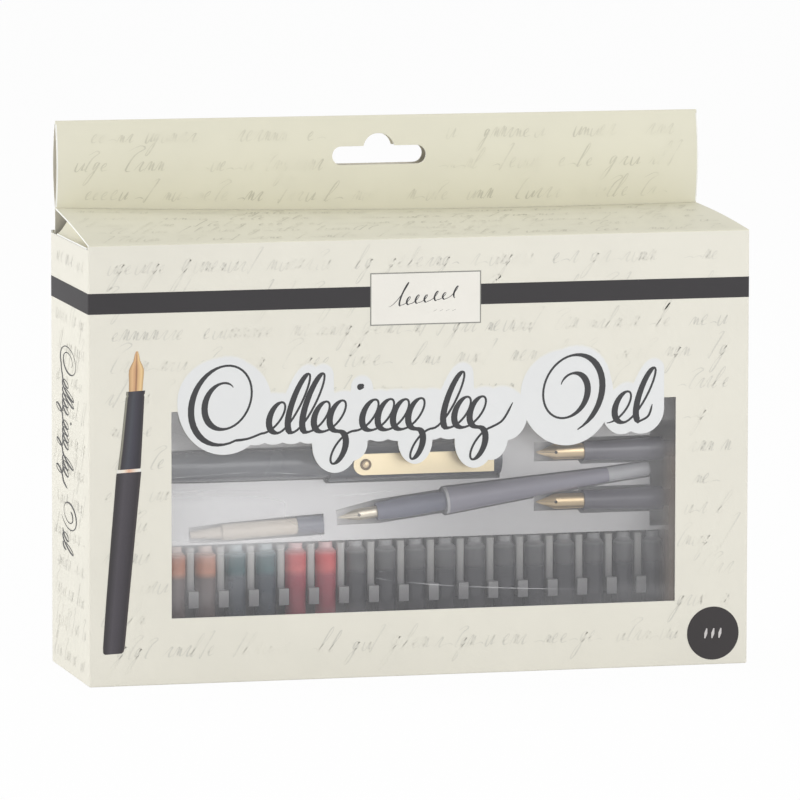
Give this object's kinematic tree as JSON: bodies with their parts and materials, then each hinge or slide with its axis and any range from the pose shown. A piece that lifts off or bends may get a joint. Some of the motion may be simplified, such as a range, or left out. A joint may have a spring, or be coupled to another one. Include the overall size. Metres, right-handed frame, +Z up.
{
  "type": "calligraphy set box",
  "caption": "Hanging window carton with a hinged lid, folded header and film window, holding a formed tray with a capped pen, spare nib units, a nib holder and ink cartridges.",
  "frame": {"origin": "middle of the footprint, on the surface the carton stands on", "axes": "+X along the width, to the right when the window is faced; -Y towards the window side, which is the front; +Z up"},
  "size_m": [0.23, 0.06, 0.1858],
  "materials": {
    "paper_board": "matt coated board, cream print",
    "clear_film": "clear gloss film",
    "tray_white": "satin formed sheet",
    "pen_black": "gloss",
    "section_black": "satin",
    "feed_black": "matt",
    "gold_metal": "polished, gold plated",
    "holder_grey": "satin",
    "holder_dark": "satin",
    "holder_light": "satin",
    "converter_clear": "semi-gloss",
    "converter_dark": "gloss",
    "cartridge_clear": "translucent, moulded",
    "ink_orange": "liquid ink",
    "ink_teal": "liquid ink",
    "ink_red": "liquid ink",
    "ink_black": "liquid ink",
    "seal_white": "moulded"
  },
  "bodies": {
    "carton": {"front_panel": "paper_board", "back_panel": "paper_board", "left_side_panel": "paper_board", "right_side_panel": "paper_board", "seam_flap": "paper_board", "bottom_panel": "paper_board", "bottom_inner_flap": "paper_board", "bottom_dust_flap_left": "paper_board", "bottom_dust_flap_right": "paper_board", "window_film": "clear_film", "insert_tray": "tray_white", "pen_barrel": "pen_black", "pen_cap": "pen_black", "pen_barrel_plug": "pen_black", "pen_grip_section": "section_black", "spare_upper_grip_section": "section_black", "spare_lower_grip_section": "section_black", "pen_feed": "feed_black", "spare_upper_feed": "feed_black", "spare_lower_feed": "feed_black", "pen_clip": "gold_metal", "pen_clip_rivet": "gold_metal", "pen_nib": "gold_metal", "spare_upper_nib": "gold_metal", "spare_lower_nib": "gold_metal", "holder_nib": "gold_metal", "holder_barrel": "holder_grey", "holder_grip": "holder_dark", "holder_ferrule": "holder_dark", "holder_end_cap": "holder_light", "holder_ring": "holder_light", "converter_tube": "converter_clear", "converter_neck": "converter_clear", "converter_knob": "converter_dark", "cartridges_orange": "cartridge_clear", "cartridges_teal": "cartridge_clear", "cartridges_red": "cartridge_clear", "cartridges_black": "cartridge_clear", "ink_orange": "ink_orange", "ink_teal": "ink_teal", "ink_red": "ink_red", "ink_black": "ink_black", "cartridge_seals": "seal_white"},
    "lid": {"lid_panel": "paper_board"},
    "header": {"header_front_layer": "paper_board", "header_rear_layer": "paper_board"},
    "dust_flap_left_body": {"dust_flap_left": "paper_board"},
    "dust_flap_right_body": {"dust_flap_right": "paper_board"}
  },
  "joints": [
    {"name": "lid_hinge", "type": "hinge", "parent": "carton", "child": "lid", "pos_m": [0, -0.0297, 0.1487], "axis": [1, 0, 0], "range_deg": [0, 110]},
    {"name": "header_fold", "type": "hinge", "parent": "lid", "child": "header", "pos_m": [-0.0011, 0.0261, 0.1542], "axis": [-0.9999, 0, 0.015], "range_deg": [0, 30]},
    {"name": "dust_flap_left_fold", "type": "hinge", "parent": "carton", "child": "dust_flap_left_body", "pos_m": [-0.1147, 0, 0.14785], "axis": [0, -1, 0], "range_deg": [0, 45]},
    {"name": "dust_flap_right_fold", "type": "hinge", "parent": "carton", "child": "dust_flap_right_body", "pos_m": [0.1147, 0, 0.14785], "axis": [0, 1, 0], "range_deg": [0, 45]}
  ],
  "couplings": [
    {"joint": "dust_flap_left_fold", "follows": "lid_hinge", "ratio": 0.4},
    {"joint": "dust_flap_right_fold", "follows": "lid_hinge", "ratio": 0.4}
  ]
}
